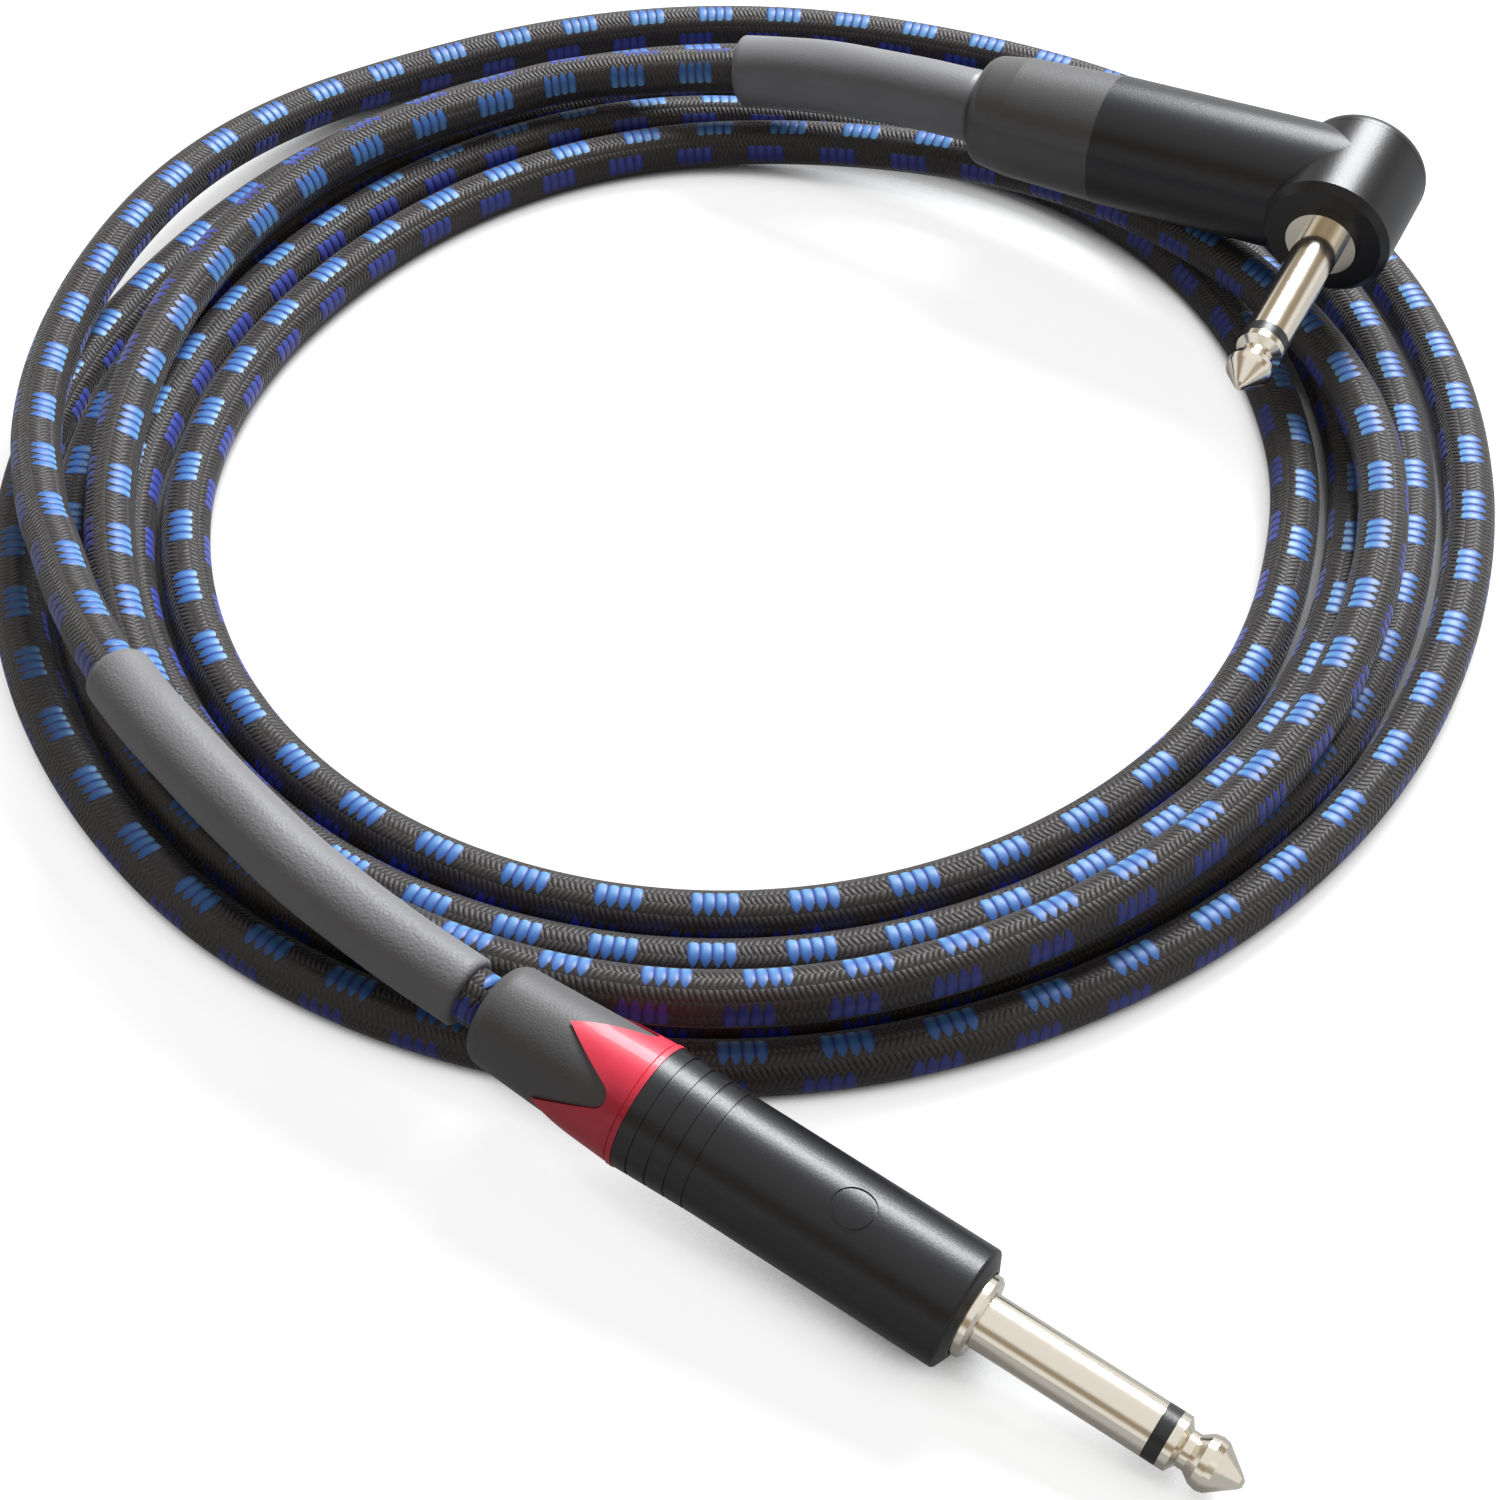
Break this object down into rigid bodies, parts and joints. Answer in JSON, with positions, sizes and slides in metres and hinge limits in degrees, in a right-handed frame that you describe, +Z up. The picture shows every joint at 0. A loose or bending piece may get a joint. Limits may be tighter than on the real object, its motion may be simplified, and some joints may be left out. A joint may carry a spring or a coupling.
{
  "type": "instrument cable",
  "caption": "Coiled braided audio cable with a muting straight jack plug at one end and a right-angle jack plug at the other.",
  "frame": {"origin": "on the table at the middle of the coil, in the plane of the coil's flattened underside", "axes": "+Z up from the table, -Y towards the straight plug's side, +X towards the right-angle plug's side"},
  "size_m": [0.2028, 0.2605, 0.034],
  "materials": {
    "braided_jacket": "very dark braided textile with fine relief and blue tracer yarns",
    "grey_sleeve": "matte grey shrink sleeve",
    "dark_sleeve": "matte dark grey shrink sleeve",
    "grey_bushing": "matte dark grey moulded rubber",
    "dark_bushing": "matte dark grey moulded rubber",
    "red_crown": "semi-gloss red plastic",
    "black_shell": "satin black coated metal",
    "chuck": "grey plastic",
    "core_insulation": "pale plastic",
    "copper": "bare copper strands",
    "earth_contact": "tinned brass",
    "contact_carrier": "black plastic",
    "circuit_board": "green circuit board",
    "reed_glass": "glass capsule",
    "nickel": "polished nickel plate",
    "insulator": "black plastic",
    "magnet": "plated magnet ring",
    "spring_steel": "spring wire"
  },
  "bodies": {
    "cable": {"cable_coil": "braided_jacket", "straight_plug_lead": "braided_jacket", "angle_plug_lead": "braided_jacket", "straight_label_sleeve": "grey_sleeve", "angle_label_sleeve": "dark_sleeve", "straight_bushing": "grey_bushing", "straight_crown": "red_crown", "straight_plug_shell": "black_shell", "straight_cable_chuck": "chuck", "straight_jacket_end": "braided_jacket", "straight_core_insulation": "core_insulation", "straight_core_wire": "copper", "straight_shield_tail": "copper", "straight_earth_lug": "earth_contact", "straight_contact_carrier": "contact_carrier", "switch_board": "circuit_board", "reed_switch": "reed_glass", "straight_sleeve_contact": "nickel", "straight_tip_contact": "nickel", "straight_tip_insulator": "insulator", "muting_ring_spring": "spring_steel", "angle_bushing": "dark_bushing", "angle_housing": "black_shell", "angle_head_cap": "black_shell", "angle_sleeve_contact": "nickel", "angle_contact_nut": "earth_contact", "angle_contact_disc": "contact_carrier", "angle_earth_tag": "earth_contact", "angle_tip_contact": "nickel", "angle_tip_insulator": "insulator", "angle_cable_chuck": "chuck", "angle_jacket_end": "braided_jacket", "angle_core_insulation": "core_insulation", "angle_core_wire": "copper", "angle_shield_tail": "copper"},
    "mute_ring": {"muting_ring": "nickel", "muting_ring_magnet": "magnet"}
  },
  "joints": [
    {"name": "mute_ring_slide", "type": "slide", "parent": "cable", "child": "mute_ring", "axis": [-0.8428, 0.5266, 0.1115], "range_m": [0, 0.0022], "stiffness_N_per_m": 150, "deforming": ["muting_ring_spring"]}
  ]
}
